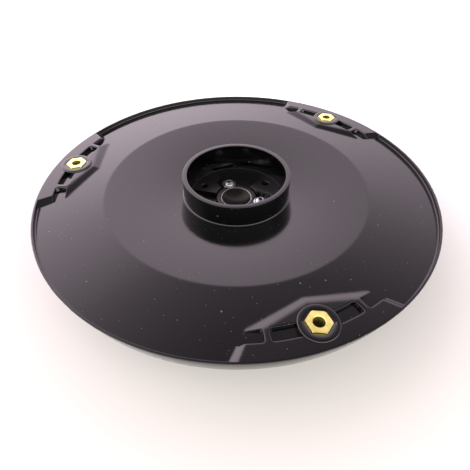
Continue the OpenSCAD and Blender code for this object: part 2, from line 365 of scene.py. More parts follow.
@dataclass
class HubFloor:
    """The cup's floor: a ring round the inlet, three blocks, three screw pockets and seats."""

    top: float = 22.0
    low: float = 19.0
    ring_in: float = 12.7
    ring_out: float = 16.0
    ring_top: float = 25.0
    block_top: float = 26.5
    block_in: float = 16.5
    block_back: float = 36.0
    block_ahead: float = 14.0
    pocket_r: float = 9.5
    seat_r: float = 6.2
    seat_top: float = 23.6
    spot_r: float = 5.9
    edge: float = 0.55
    draft: float = 0.35

    def raised(self, outside: Array, level: float) -> Array:
        """Height of a flat-topped feature with a rounded edge and steep sides.

        Args:
            outside: Signed distance from the feature's outline, below 0 within it.
            level: Height of its top.

        Returns:
            The height within the outline and on its side, and very low far from it.
        """
        top = level - rounded_step(-outside, self.edge)
        side = (level - self.edge) - np.maximum(outside, 0) * (level - self.top) / self.draft
        return np.where(outside < 0, top, side)

    def height(self, x: Array, y: Array) -> Array:
        """Height of the cup's floor: the highest of the level floor, ring, blocks and seats.

        A block is an arc of the floor outside block_in, less a round pocket about each screw.

        Args:
            x: Places across.
            y: Places along.

        Returns:
            The height at each place.
        """
        r = np.hypot(x, y)
        a = np.degrees(np.arctan2(y, x))
        level = np.full_like(r, self.top)
        level = np.maximum(level, self.raised(r - self.ring_out, self.ring_top))
        rel = FLANGE_HOLES.relative(a)
        span = np.maximum(rel - self.block_ahead, -self.block_back - rel)
        block = np.maximum(np.radians(span) * r, self.block_in - r)
        for cx, cy in HUB_SCREWS.centres():
            reach = np.hypot(x - cx, y - cy)
            block = np.maximum(block, self.pocket_r - reach)
            level = np.maximum(level, self.raised(reach - self.seat_r, self.seat_top))
            level = np.where(reach < self.spot_r, np.minimum(level, self.seat_top), level)
        return np.maximum(level, self.raised(block, self.block_top))


@dataclass
class RimPads:
    """Three winged pads, flush with the rim, each with pockets and a round boss."""

    nose: float = 119.3
    kink: float = 14.4
    nose_slope: float = math.tan(math.radians(23))
    end_slope: float = math.tan(math.radians(38))
    tip: tuple[float, float] = (131.0, 41.2)
    tip_turn: float = 49.0
    pocket_in: float = 130.3
    pocket_out: float = 138.3
    rib: tuple[float, float] = (11.7, 13.3)
    pocket_end: float = 26.0
    corner: float = 1.3
    boss_r: float = 12.2
    boss_top: float = 41.0
    boss_edge: float = 1.0
    edge: float = 0.65
    soft: float = 0.7
    valley: float = 0.4
    foot: float = 0.5

    def wedge(self, x: Array, y: Array) -> Array:
        """Height of the pads' tops and sloping sides, without pockets.

        It is the rim's height, less the distance outside the nose or the end times its slope,
        whichever drop is larger.

        Args:
            x: Places across.
            y: Places along.

        Returns:
            The height at each place.
        """
        r = np.hypot(x, y)
        rel = np.radians(INSERTS.relative(np.degrees(np.arctan2(y, x))))
        u, v = r * np.cos(rel), np.abs(r * np.sin(rel))
        k, e = math.radians(self.kink), math.radians(self.tip_turn)
        nose = (self.nose - u) * math.cos(k) + v * math.sin(k)
        end = (self.tip[0] - u) * math.cos(e) + (v - self.tip[1]) * math.sin(e)
        drop = smooth_max(nose * self.nose_slope, end * self.end_slope, self.valley)
        return RIM_TOP - smooth_max(drop, np.zeros_like(drop), self.soft)

    def pocket(self, x: Array, y: Array) -> Array:
        """Signed distance from the pockets' outlines: rectangles bent along a circle.

        Args:
            x: Places across.
            y: Places along.

        Returns:
            The distance at each place, below 0 within a pocket.
        """
        r = np.hypot(x, y)
        rel = np.abs(INSERTS.relative(np.degrees(np.arctan2(y, x))))
        middle = (self.pocket_in + self.pocket_out) / 2
        half = (self.pocket_out - self.pocket_in) / 2
        best = np.full_like(r, 1e3)
        for start, stop in ((0.0, self.rib[0]), (self.rib[1], self.pocket_end)):
            along = np.abs(rel - (start + stop) / 2) - (stop - start) / 2
            across = np.abs(r - middle) - half
            a = np.radians(along) * middle + self.corner
            b = across + self.corner
            gap = np.hypot(np.maximum(a, 0), np.maximum(b, 0)) + np.minimum(np.maximum(a, b), 0)
            best = np.minimum(best, gap - self.corner)
        return best

    def height(self, x: Array, y: Array, deck: Array) -> Array:
        """Height of the deck with its pads.

        Args:
            x: Places across.
            y: Places along.
            deck: Height of the plain deck there.

        Returns:
            The height with wedges raised, pockets sunk to the plain deck, and bosses.
        """
        top = self.wedge(x, y)
        pocket = self.pocket(x, y)
        top = top - rounded_step(pocket, self.edge)
        top = np.where(pocket > 0, top, -1e3)
        made = np.where(pocket > 0, smooth_max(deck, top, self.foot), deck)
        for cx, cy in INSERTS.centres():
            inside = self.boss_r - np.hypot(x - cx, y - cy)
            boss = self.boss_top - rounded_step(inside, self.boss_edge)
            made = np.where(inside > 0, np.maximum(boss, made), made)
        return made


@dataclass
class Deck:
    """The moulded deck: one closed shell from the inlet's edge to the rim and back below."""

    collar_r: float = 41.2
    collar_in: float = 37.7
    stop_r: float = 37.0
    stop_z: float = 27.0
    collar_top: float = 48.9
    base_fillet: float = 1.2
    cone_z: float = 31.5
    crease_r: float = 100.5
    crease_z: float = 38.8
    lip_r: float = 148.3
    rim_r: float = 150.0
    edge_z: float = 36.5
    skirt_low: float = 26.0
    skirt_r: float = 145.9
    skirt_t: float = 2.2
    skin: float = 3.0
    well_r: float = 41.9
    column_r: float = 9.0
    column_low: float = 27.4
    bore_r: float = 5.5
    head_low: float = 37.5
    hole_r: float = 2.75
    hub: HubFloor = field(default_factory=HubFloor)
    pads: RimPads = field(default_factory=RimPads)
    window: float = 5.6
    hole_window: float = 7.0
    wall_in: float = 4.6
    hole_reach: float = 3.6
    lip_fillet: float = 0.8
    crease_soft: float = 0.16

    def plain(self, r: Array) -> Array:
        """Height of the dished middle and the outer zone: the lower of two cones.

        Args:
            r: Distances from the axis.

        Returns:
            The height at each distance, without pads.
        """
        fall = self.base_fillet + self.collar_r
        inner = self.cone_z + (r - fall) * (self.crease_z - self.cone_z) / (self.crease_r - fall)
        outer = self.crease_z - (r - self.crease_r) * (self.crease_z - self.edge_z) / (
            self.lip_r - self.lip_fillet - self.crease_r)
        return smooth_min(inner, outer, self.crease_soft)

    def top(self, x: Array, y: Array) -> Array:
        """Height of the deck's upper side outside the collar."""
        return self.pads.height(x, y, self.plain(np.hypot(x, y)))

    def fine_angles(self) -> Array:
        """Directions of the grid's lines round the rim, dense at the pads' edges.

        Returns:
            The directions in radians, ascending, within one turn.
        """
        p = self.pads
        mm = math.degrees(1 / ((p.pocket_in + p.pocket_out) / 2))
        wall = np.array([-1.6, -0.7, -0.06, 0.0, 0.1, 0.25, 0.5]) * mm
        half = np.concatenate([
            np.linspace(0, self.window, 11)[1:], np.arange(self.window + 0.3, p.rib[0] - 1, 0.7),
            p.rib[0] + wall, [12.5], p.rib[1] - wall[::-1], np.arange(14.3, 16.7, 0.6),
            np.arange(16.9, 22.8, 0.26), [23.3, 24.0, 25.0, 26.2, 27.6],
            np.linspace(29, 57.5, 12)])
        one = np.concatenate([-half[::-1], [0], half])
        lines = np.concatenate([one + INSERTS.start + 120 * k for k in range(3)])
        return np.radians(np.sort(lines % 360))

    def window_angles(self) -> Array:
        """Directions of the coarser lines below the deck, with the windows' own.

        Returns:
            The directions in radians, ascending, within one turn.
        """
        inside = np.linspace(0, self.window, 11)[1:]
        half = np.concatenate([inside, np.linspace(self.window + 1.5, 58.5, 18)])
        one = np.concatenate([-half[::-1], [0], half])
        lines = np.concatenate([one + INSERTS.start + 120 * k for k in range(3)])
        return np.radians(np.sort(lines % 360))

    def window_rows(self) -> Array:
        """Radii of the grid's rings across a boss, dense at the pockets' walls.

        Returns:
            The radii, ascending.
        """
        p = self.pads
        wall = np.array([0.5, 0.25, 0.1, 0.0, -0.06, -0.7])
        return np.concatenate([
            np.linspace(120.9, p.pocket_in - 1.1, 15), p.pocket_in - wall,
            np.linspace(p.pocket_in + 1.9, p.pocket_out - 1.9, 4), p.pocket_out + wall[::-1],
            np.linspace(p.pocket_out + 1.2, 146.7, 12)])

    @staticmethod
    def ring(r: Array | float, z: Array | float, at: Array) -> Array:
        """Points at radius r and height z in the given directions."""
        r, z = np.broadcast_to(r, at.shape), np.broadcast_to(z, at.shape)
        return np.stack([r * np.cos(at), r * np.sin(at), z], -1)

    @staticmethod
    def around(numbers: Array, rows: tuple[int, int], columns: Array) -> Array:
        """Point numbers round a window of a grid: along the first row and back on the last.

        Args:
            numbers: The grid's point numbers.
            rows: First and last row of the window.
            columns: The window's columns, in order.

        Returns:
            The numbers of the window's border, closed, once round.
        """
        a, b = rows
        return np.concatenate([
            numbers[a:b, columns[0]], numbers[b, columns[:-1]],
            numbers[b:a:-1, columns[-1]], numbers[a, columns[:0:-1]]])

    def hole(self, mesh: Mesher, centre: tuple[float, float], above: Array, below: Array,
             steps: Sequence[tuple[Array | float, Array | float | None]]) -> None:
        """Joins a window above to the window below it by rings about a centre.

        Args:
            mesh: The mesher that holds both borders.
            centre: X and Y of the centre.
            above: Point numbers of the upper border.
            below: Point numbers of the lower border.
            steps: Radius and height of each ring; where the height is None, it is the deck's.
        """
        points = np.concatenate(mesh.points)
        away = points[above][:, :2] - centre
        turn = np.arctan2(away[:, 1], away[:, 0])
        rings = [above]
        for radius, height in steps:
            x = centre[0] + radius * np.cos(turn)
            y = centre[1] + radius * np.sin(turn)
            z = self.top(x, y) if height is None else np.broadcast_to(height, x.shape)
            rings.append(mesh.add(np.stack([x, y, z], -1)))
        rings.append(below)
        mesh.skin(np.stack(rings[::-1]))

    def insert_steps(self, k: int, away: Array) -> list[tuple[Array | float, Array | float | None]]:
        """Rings of boss, hexagonal seat, bore and column of one insert.

        Args:
            k: Which insert.
            away: X and Y of the window's border, from the insert's axis.

        Returns:
            Radius and height of each ring, from the border to the underside.
        """
        p = self.pads
        turn_of = np.arctan2(away[:, 1], away[:, 0])
        near = p.boss_r + 0.35
        beyond = np.hypot(*away.T) - near
        lead = [(near + share * beyond, None) for share in (0.8, 0.6, 0.42, 0.27, 0.13)]
        seat = hexagon(INSERT_FLATS + 0.2, turn_of - math.radians(INSERT_TURNS[k]))
        edge = [(p.boss_r - p.boss_edge * (1 - math.cos(a)),
                 p.boss_top - p.boss_edge * (1 - math.sin(a)))
                for a in np.radians([0, 25, 50, 70, 90])]
        under = float(self.plain(np.array(INSERTS.radius)) - self.skin)
        return [*lead, (near, None), (p.boss_r + 0.04, None), *edge, (10.2, p.boss_top),
                (seat + 0.25, p.boss_top), (seat, p.boss_top - 0.25), (seat, self.head_low),
                (self.bore_r, self.head_low), (self.bore_r, self.column_low + 0.3),
                (self.bore_r + 0.3, self.column_low), (self.column_r - 0.5, self.column_low),
                (self.column_r, self.column_low + 0.5), (self.column_r, under - 0.8),
                (self.column_r + 0.25, under - 0.2), (self.column_r + 0.8, under)]

    def build(self) -> bpy.types.Object:
        """Makes the deck's mesh.

        Returns:
            The deck as one closed shell.
        """
        mesh = Mesher()
        hub_at = np.radians(np.arange(360.0))
        mid_at = np.radians(np.arange(0, 360, 2.0))
        fine_at, low_at = self.fine_angles(), self.window_angles()

        # cup's floor, from the inlet's edge to the collar
        h = self.hub
        hole_rows = np.linspace(FLANGE_HOLES.radius - self.hole_reach,
                                FLANGE_HOLES.radius + self.hole_reach, 17)
        hub_r = np.concatenate([
            [h.ring_in, h.ring_in + 0.12, h.ring_in + 0.35], np.arange(13.4, 15.3, 0.7),
            np.arange(15.45, 17.2, 0.16), np.arange(17.6, hole_rows[0] - 0.2, 0.42), hole_rows,
            np.arange(hole_rows[-1] + 0.4, self.stop_r - 0.2, 0.45), [self.stop_r]])
        r, t = np.meshgrid(hub_r, hub_at, indexing="ij")
        x, y = r * np.cos(t), r * np.sin(t)
        z = h.height(x, y) - rounded_step(r - h.ring_in, 0.4)
        floor = mesh.add(np.stack([x, y, z], -1))
        keep = np.ones((len(hub_r) - 1, len(hub_at)), bool)
        first = int(np.searchsorted(hub_r, hole_rows[0] - 1e-6))
        span = (first, first + len(hole_rows) - 1)
        low_inner = [h.ring_in, 17.0, 21.0]
        low_r = np.concatenate([low_inner, hole_rows, [35.0, 39.0, self.well_r - 0.6]])
        low_span = (len(low_inner), len(low_inner) + len(hole_rows) - 1)
        low_grid = np.stack([self.ring(q, h.low, hub_at) for q in low_r[::-1]])
        under = mesh.add(low_grid)[::-1]
        low_keep = np.ones((len(low_r) - 1, len(hub_at)), bool)
        for centre, angle in zip(FLANGE_HOLES.centres(), FLANGE_HOLES.angles()):
            start = math.ceil(angle - self.hole_window)
            columns = np.arange(start, start + 2 * int(self.hole_window) + 1) % 360
            keep[span[0]:span[1], columns[:-1]] = False
            low_keep[low_span[0]:low_span[1], columns[:-1]] = False
            ring_top = [(self.hole_r + 0.3, h.block_top), (self.hole_r, h.block_top - 0.3),
                        (self.hole_r, h.low + 0.2), (self.hole_r + 0.2, h.low)]
            self.hole(mesh, centre, self.around(floor, span, columns),
                      self.around(under, low_span, columns), ring_top)
        mesh.skin(floor, keep)
        mesh.skin(under[::-1], low_keep[::-1])
        mesh.skin(np.stack([under[0], floor[0]]))

        # collar and dished middle
        fall = self.collar_r + self.base_fillet
        wall = filleted([(self.stop_r, self.stop_z - 0.4, 0), (self.stop_r, self.stop_z, 0.15),
                         (self.collar_in, self.stop_z, 0.1),
                         (self.collar_in, self.collar_top, 0.25),
                         (self.collar_r, self.collar_top, 0.3),
                         (self.collar_r, self.cone_z + self.base_fillet, 0)])
        base = arc((fall, self.cone_z + self.base_fillet), self.base_fillet, 180, 270, 6)[1:]
        cone_r = np.concatenate([np.linspace(fall + 0.6, 98.4, 14), [99.2, 99.8, 100.2, 100.5,
                                 100.8, 101.2, 101.9, 103.2]])
        cone = np.stack([cone_r, self.plain(cone_r)], -1)
        middle = np.vstack([wall, np.linspace(wall[-1], base[0], 3)[1:-1], base, cone])
        rows = mesh.add(np.stack([self.ring(q, w, mid_at) for q, w in middle]))
        mesh.skin(rows)
        mesh.zip_rings(floor[-1], hub_at, rows[0], mid_at)

        # outer zone with its pads, lip and skirt
        across = self.window_rows()
        zone = np.concatenate([[105.0, 107.2, 109.0], np.arange(110.2, 120.7, 0.5), across,
                               [147.1, 147.5, 147.8, 148.05, 148.2]])
        r, t = np.meshgrid(zone, fine_at, indexing="ij")
        x, y = r * np.cos(t), r * np.sin(t)
        foot = np.maximum(self.lip_r - self.lip_fillet - r, -self.lip_fillet)
        lift = rounded_step(foot + self.lip_fillet, self.lip_fillet)
        z = self.pads.height(x, y, self.plain(r) + lift)
        lip = filleted([(self.lip_r, 37.5, 0), (self.lip_r, RIM_TOP, 0.3),
                        (self.rim_r, RIM_TOP, 0.5), (self.skirt_r, self.skirt_low, 0.5),
                        (self.skirt_r - self.skirt_t, self.skirt_low, 0.5)])
        flush = self.pads.wedge(*(self.lip_r * np.stack([np.cos(fine_at), np.sin(fine_at)])))
        lip_rows = []
        for q, w in lip:
            inner = (q < self.rim_r - 0.7) & (w > 37)
            high = np.where(inner, np.maximum(w, np.minimum(flush, RIM_TOP)), w)
            lip_rows.append(self.ring(q, high, fine_at))
        outer = mesh.add(np.concatenate([np.stack([x, y, z], -1), np.stack(lip_rows)]))
        keep = np.ones((len(outer) - 1, len(fine_at)), bool)
        first = int(np.searchsorted(zone, across[0] - 1e-6))
        span = (first, first + len(across) - 1)

        # underside, from the skirt to the hub well
        well_side = [self.well_r + 0.8, 52.0, 64.0, 76.0, 88.0, 97.0, 100.5, 104.0, 112.0]
        bottom_r = np.concatenate([well_side, across, [self.rim_r - self.wall_in - 0.8]])
        flat = self.plain(bottom_r) - self.skin
        inside = [(self.skirt_r - self.skirt_t + 0.9, 29.5), (self.rim_r - self.wall_in, 32.2),
                  (self.rim_r - self.wall_in - 0.15, 32.9)]
        well = [(self.well_r + 0.2, flat[0] - 0.3), (self.well_r, flat[0] - 0.9),
                (self.well_r, 24.0), (self.well_r, h.low + 0.5),
                (self.well_r - 0.15, h.low + 0.15)]
        below = inside + list(zip(bottom_r[::-1], flat[::-1])) + well
        low = mesh.add(np.stack([self.ring(q, w, low_at) for q, w in below]))
        low_keep = np.ones((len(low) - 1, len(low_at)), bool)
        last = len(inside) + len(bottom_r) - 1 - len(well_side)
        low_span = (last - len(across) + 1, last)
        for k, (centre, angle) in enumerate(zip(INSERTS.centres(), INSERTS.angles())):
            columns = self.window_columns(fine_at, angle)
            low_columns = self.window_columns(low_at, angle)
            keep[span[0]:span[1], columns[:-1]] = False
            low_keep[low_span[0]:low_span[1], low_columns[:-1]] = False
            above = self.around(outer, span, columns)
            mirrored = (len(low) - 1 - low_span[1], len(low) - 1 - low_span[0])
            beneath = self.around(low[::-1], mirrored, low_columns)
            away = np.concatenate(mesh.points)[above][:, :2] - centre
            self.hole(mesh, centre, above, beneath, self.insert_steps(k, away))
        mesh.skin(outer, keep)
        mesh.skin(low, low_keep)
        mesh.zip_rings(rows[-1], mid_at, outer[0], fine_at)
        mesh.zip_rings(outer[-1], fine_at, low[0], low_at)
        mesh.zip_rings(low[-1], low_at, under[-1], hub_at)
        return mesh.build("deck_shell", sharp=DECK_EDGE)

    def window_columns(self, at: Array, angle: float) -> Array:
        """Which directions of a set lie within a boss's window.

        Args:
            at: The directions, in radians.
            angle: The window's middle, in degrees.

        Returns:
            Their places in the set, in order across the window.
        """
        rel = (np.degrees(at) - angle + 180) % 360 - 180
        inside = np.flatnonzero(np.abs(rel) < self.window + 1e-3)
        return inside[np.argsort(rel[inside])]


# ---- Finishes -----------------------------------------------------------------------------------


class Tree:
    """A node tree that is built from left to right."""

    def __init__(self, tree: bpy.types.NodeTree) -> None:
        """Wraps a tree.

        Args:
            tree: The tree to add nodes to.
        """
        self.tree = tree

    def node(self, kind: str, values: dict[str | int, object] | None = None,
             **settings: object) -> bpy.types.Node:
        """Adds a node.

        Args:
            kind: The node's type, without its ShaderNode prefix unless it has another one.
            values: What goes into its inputs: a number, a colour or another node's output.
            settings: The node's own properties.

        Returns:
            The new node.
        """
        made = self.tree.nodes.new(kind if kind.startswith("Node") else "ShaderNode" + kind)
        for name, value in settings.items():
            setattr(made, name, value)
        for name, value in (values or {}).items():
            if isinstance(value, bpy.types.NodeSocket):
                self.tree.links.new(value, made.inputs[name])
            else:
                made.inputs[name].default_value = value
        return made

    def math(self, operation: str, a: object, b: object = 0.0,
             c: object = 0.0) -> bpy.types.NodeSocket:
        """The result of one math node."""
        return self.node("Math", {0: a, 1: b, 2: c}, operation=operation).outputs[0]

    def ramp(self, value: object, low: float, high: float, out_low: float = 0.0,
             out_high: float = 1.0) -> bpy.types.NodeSocket:
        """A smooth step of a value: out_low below low, out_high above high."""
        return self.node("MapRange", {"Value": value, "From Min": low, "From Max": high,
                                      "To Min": out_low, "To Max": out_high},
                         interpolation_type="SMOOTHSTEP").outputs["Result"]

    def mix(self, mask: object, a: object, b: object) -> bpy.types.NodeSocket:
        """Mixes two colours.

        Args:
            mask: 0 gives a, and 1 gives b.
            a: The first colour, or a socket with one.
            b: The second colour, or a socket with one.

        Returns:
            The mixed colour's socket.
        """
        made = self.node("Mix", data_type="RGBA")
        for socket, value in ((made.inputs[0], mask), (made.inputs[6], a), (made.inputs[7], b)):
            if isinstance(value, bpy.types.NodeSocket):
                self.tree.links.new(value, socket)
            else:
                socket.default_value = value
        return made.outputs[2]


class Effect(Enum):
    """Surface effects that several finishes share, each one a shader node group."""

    SCRATCHES = "hairline scratches"
    DUST = "dust specks"
    MOTTLE = "uneven gloss"
    TURNED = "turned rings"

    def group(self) -> bpy.types.NodeTree:
        """The effect's node group, built the first time it is asked for."""
        made = bpy.data.node_groups.get(self.value)
        return made or getattr(self, "build_" + self.name.lower())()

    def start(self, inputs: dict[str, float]) -> tuple[Tree, bpy.types.Node]:
        """Makes the group with its sockets.

        Args:
            inputs: Names and default values of its number inputs.

        Returns:
            The group's tree and its input node.
        """
        tree = bpy.data.node_groups.new(self.value, "ShaderNodeTree")
        tree.interface.new_socket("Vector", in_out="INPUT", socket_type="NodeSocketVector")
        for name, value in inputs.items():
            socket = tree.interface.new_socket(name, in_out="INPUT", socket_type="NodeSocketFloat")
            socket.default_value = value
        tree.interface.new_socket("Mask", in_out="OUTPUT", socket_type="NodeSocketFloat")
        return Tree(tree), tree.nodes.new("NodeGroupInput")

    @staticmethod
    def close(t: Tree, given: bpy.types.Node, value: bpy.types.NodeSocket) -> bpy.types.NodeTree:
        """Sends a value, times the group's Amount, to its Mask output.

        Args:
            t: The group's tree.
            given: The group's input node.
            value: The value at full strength.

        Returns:
            The finished group.
        """
        out = t.tree.nodes.new("NodeGroupOutput")
        t.tree.links.new(t.math("MULTIPLY", value, given.outputs["Amount"]), out.inputs["Mask"])
        return t.tree

    def build_scratches(self) -> bpy.types.NodeTree:
        """Thin lines along three directions, where a stretched noise crosses its middle.

        Returns:
            The group.
        """
        t, given = self.start({"Scale": 60.0, "Amount": 0.5})
        stretch, width = 22.0, 0.006
        total: object = 0.0
        for k, angle in enumerate((0.35, 1.3, 2.4)):
            spun = t.node("Mapping", {"Vector": given.outputs["Vector"], "Rotation": (0, 0, angle),
                                      "Location": (1.7 * k, 0.9 * k, 0),
                                      "Scale": (1.0, stretch, 1.0)})
            noise = t.node("TexNoise", {"Vector": spun.outputs[0], "Scale": given.outputs["Scale"],
                                        "Detail": 1.0})
            line = t.math("ABSOLUTE", t.math("SUBTRACT", noise.outputs["Fac"], 0.5))
            thin = t.ramp(line, 0.0, width, 1.0, 0.0)
            patch = t.node("TexNoise", {"Vector": given.outputs["Vector"], "Scale": 25.0 + 9 * k})
            part = t.math("MULTIPLY", thin, t.ramp(patch.outputs["Fac"], 0.55, 0.7))
            total = t.math("ADD", total, part)
        return self.close(t, given, total)

    def build_dust(self) -> bpy.types.NodeTree:
        """Small round specks of two sizes, where a cell's random value is high.

        Returns:
            The group.
        """
        t, given = self.start({"Scale": 900.0, "Amount": 0.5})
        total: object = 0.0
        for size, share in ((1.0, 0.982), (0.5, 0.995)):
            scale = t.math("MULTIPLY", given.outputs["Scale"], size)
            cell = t.node("TexVoronoi", {"Vector": given.outputs["Vector"], "Scale": scale})
            dot = t.ramp(cell.outputs["Distance"], 0.12, 0.3, 1.0, 0.0)
            pick = t.node("SeparateColor", {"Color": cell.outputs["Color"]}).outputs[0]
            chosen = t.math("GREATER_THAN", pick, share)
            total = t.math("MAXIMUM", total, t.math("MULTIPLY", dot, chosen))
        return self.close(t, given, total)

    def build_mottle(self) -> bpy.types.NodeTree:
        """Slow and fine noise added together, as the flow marks of a moulding.

        Returns:
            The group.
        """
        t, given = self.start({"Scale": 14.0, "Amount": 1.0})
        at = given.outputs["Vector"]
        fine_scale, fine_share = 620.0, 0.3
        slow = t.node("TexNoise", {"Vector": at, "Scale": given.outputs["Scale"], "Detail": 3.0})
        fine = t.node("TexNoise", {"Vector": at, "Scale": fine_scale, "Detail": 2.0})
        rest = t.math("MULTIPLY", slow.outputs["Fac"], 1 - fine_share)
        return self.close(t, given, t.math("MULTIPLY_ADD", fine.outputs["Fac"], fine_share, rest))

    def build_turned(self) -> bpy.types.NodeTree:
        """Fine rings about the Z axis: noise read along the radius and the height only.

        Returns:
            The group.
        """
        t, given = self.start({"Scale": 900.0, "Amount": 1.0})
        parts = t.node("SeparateXYZ", {"Vector": given.outputs["Vector"]})
        radius = t.math("SQRT", t.math("ADD", t.math("POWER", parts.outputs[0], 2.0),
                                       t.math("POWER", parts.outputs[1], 2.0)))
        rings = t.node("CombineXYZ", {0: radius, 1: parts.outputs[2]})
        noise = t.node("TexNoise", {"Vector": rings.outputs[0], "Scale": given.outputs["Scale"],
                                    "Detail": 3.0})
        return self.close(t, given, noise.outputs["Fac"])

    def mask(self, t: Tree, vector: bpy.types.NodeSocket, **values: float) -> bpy.types.NodeSocket:
        """The effect's mask in a material.

        Args:
            t: The material's tree.
            vector: Where the effect is read.
            values: Values of the group's number inputs.

        Returns:
            The mask's socket.
        """
        made = t.node("Group", node_tree=self.group())
        t.tree.links.new(vector, made.inputs["Vector"])
        for name, value in values.items():
            made.inputs[name].default_value = value
        return made.outputs["Mask"]


RING_SCALE = 1400.0
# painted shade in bores and recesses: their colour is the shade colour times the first, and their
# roughness rises by the second
PAINTED_RECESS_SHADE = 0.16
RECESS_SHADE_ROUGH = 0.25
SCRATCH_ROUGH = 0.35
DUST_COLOUR = (0.2, 0.19, 0.19)
DUST_ROUGH = 0.8
RELIEF_DEPTH = 0.0002


@dataclass(frozen=True)
class Finish:
    """A finish: its colours, gloss and fine relief, and how worn or dusty it is.

    Within axis_r of the Z axis the roughness is at least axis_rough, and beyond it the colour is
    the rim's lighter colour, a painted highlight, where a finish has them. Metal finishes darken
    the points marked inside bores and recesses, as painted shade.
    """

    name: str
    colour: Colour
    shade: Colour
    rough: tuple[float, float]
    metal: float = 0.0
    relief: float = 0.1
    relief_scale: float = 14.0
    rings: bool = False
    dust: float = 0.0
    scratches: float = 0.0
    specular: float = 0.5
    axis_r: float = 0.0
    axis_rough: float = 0.0
    rim_colour: Colour | None = None

    def material(self) -> bpy.types.Material:
        """Builds the finish's material.

        Returns:
            A material whose colour and roughness vary with a mottle, turned rings, scratches
            and dust, as this finish has them.
        """
        made = bpy.data.materials.new(self.name)
        made.use_nodes = True
        t = Tree(made.node_tree)
        shader = made.node_tree.nodes["Principled BSDF"]
        at = t.node("TexCoord").outputs["Object"]
        mottle = Effect.MOTTLE.mask(t, at, Scale=self.relief_scale)
        grain = Effect.TURNED.mask(t, at, Scale=RING_SCALE) if self.rings else mottle
        colour = t.mix(t.ramp(mottle, 0.38, 0.62), (*self.shade, 1), (*self.colour, 1))
        rough = t.ramp(grain, 0.35, 0.65, self.rough[0], self.rough[1])
        # painted highlight: beyond axis_r the colour turns light, for a thin bright rim
        if self.rim_colour:
            colour = t.mix(self.beyond(t, at), colour, (*self.rim_colour, 1))
        if self.axis_rough:
            inside = t.math("SUBTRACT", 1.0, self.beyond(t, at))
            rough = t.math("MAXIMUM", rough, t.math("MULTIPLY", inside, self.axis_rough))
        height = grain
        # painted shade: points marked inside bores and recesses turn dark and rougher
        if self.metal:
            recess_shade = t.node("Attribute", attribute_name="recess_shade").outputs["Fac"]
            colour = t.mix(recess_shade, colour, (*(PAINTED_RECESS_SHADE * c for c in self.shade), 1))
            rough = t.math("MULTIPLY_ADD", recess_shade, RECESS_SHADE_ROUGH, rough)
        if self.scratches:
            lines = Effect.SCRATCHES.mask(t, at, Amount=self.scratches)
            rough = t.math("MULTIPLY_ADD", lines, SCRATCH_ROUGH, rough)
            height = t.math("SUBTRACT", height, lines)
        if self.dust:
            specks = Effect.DUST.mask(t, at, Amount=self.dust)
            colour = t.mix(specks, colour, (*DUST_COLOUR, 1))
            rough = t.math("MAXIMUM", rough, t.math("MULTIPLY", specks, DUST_ROUGH))
        bump = t.node("Bump", {"Height": height, "Strength": self.relief,
                               "Distance": RELIEF_DEPTH})
        for name, value in (("Base Color", colour), ("Roughness", rough),
                            ("Normal", bump.outputs[0])):
            t.tree.links.new(value, shader.inputs[name])
        shader.inputs["Metallic"].default_value = self.metal
        shader.inputs["Specular IOR Level"].default_value = self.specular
        return made

    def beyond(self, t: Tree, at: bpy.types.NodeSocket) -> bpy.types.NodeSocket:
        """Where a point lies further than axis_r from the Z axis.

        Args:
            t: The material's tree.
            at: The point.

        Returns:
            A socket that is 1 outside and 0 within, with a soft edge.
        """
        flat = t.node("VectorMath", {0: at, 1: (1, 1, 0)}, operation="MULTIPLY").outputs[0]
        away = t.node("VectorMath", {0: flat}, operation="LENGTH").outputs["Value"]
        return t.ramp(away, (self.axis_r - 0.2) * MM, (self.axis_r + 0.2) * MM)


FINISHES = {
    "deck_plastic": Finish("glossy moulded plastic", (0.0012, 0.0011, 0.0012),
                           (0.0008, 0.0008, 0.0009), (0.09, 0.15), relief=0.05, relief_scale=9.0,
                           dust=0.55, scratches=0.35, axis_r=37.6, axis_rough=0.4),
    "brass": Finish("polished brass", (1.0, 0.94, 0.34), (0.96, 0.85, 0.24), (0.28, 0.42),
                    metal=1.0, relief=0.12, relief_scale=160.0, scratches=0.3),
    "screw_steel": Finish("zinc-plated steel", (0.62, 0.62, 0.64), (0.5, 0.5, 0.53), (0.18, 0.3),
                          metal=1.0, relief=0.15, relief_scale=220.0),
    "aluminium": Finish("turned aluminium", (0.68, 0.69, 0.7), (0.56, 0.57, 0.59), (0.24, 0.4),
                        metal=1.0, relief=0.35, rings=True, scratches=0.3),
    "rubber": Finish("black rubber", (0.02, 0.02, 0.02), (0.012, 0.012, 0.012), (0.55, 0.7),
                     relief=0.3, relief_scale=300.0, specular=0.35),
    # the plug's rim beyond 11.7 mm is painted light, as a highlight
    "plug_metal": Finish("pressed olive-grey metal", (0.022, 0.022, 0.018), (0.014, 0.014, 0.012),
                         (0.22, 0.34), metal=0.8, relief=0.12, relief_scale=120.0, specular=0.3,
                         axis_r=11.7, rim_colour=(0.34, 0.34, 0.31)),
    "bearing_steel": Finish("ground bearing steel", (0.66, 0.66, 0.68), (0.58, 0.58, 0.6),
                            (0.08, 0.16), metal=1.0, relief=0.08, rings=True),
    "spring_steel": Finish("phosphated spring steel", (0.1, 0.1, 0.105), (0.06, 0.06, 0.064),
                           (0.4, 0.55), metal=0.8, relief=0.2, relief_scale=200.0),
    "cage_brass": Finish("pressed cage brass", (0.62, 0.42, 0.16), (0.52, 0.34, 0.12), (0.25, 0.4),
                         metal=1.0, relief=0.15, relief_scale=200.0),
    "stainless": Finish("drawn stainless steel", (0.64, 0.64, 0.64), (0.54, 0.54, 0.55),
                        (0.16, 0.3), metal=1.0, relief=0.12, relief_scale=90.0, scratches=0.4),
    "plate_plastic": Finish("scuffed wear plastic", (0.03, 0.03, 0.032), (0.018, 0.018, 0.02),
                            (0.4, 0.6), relief=0.4, relief_scale=120.0, scratches=0.9),
}


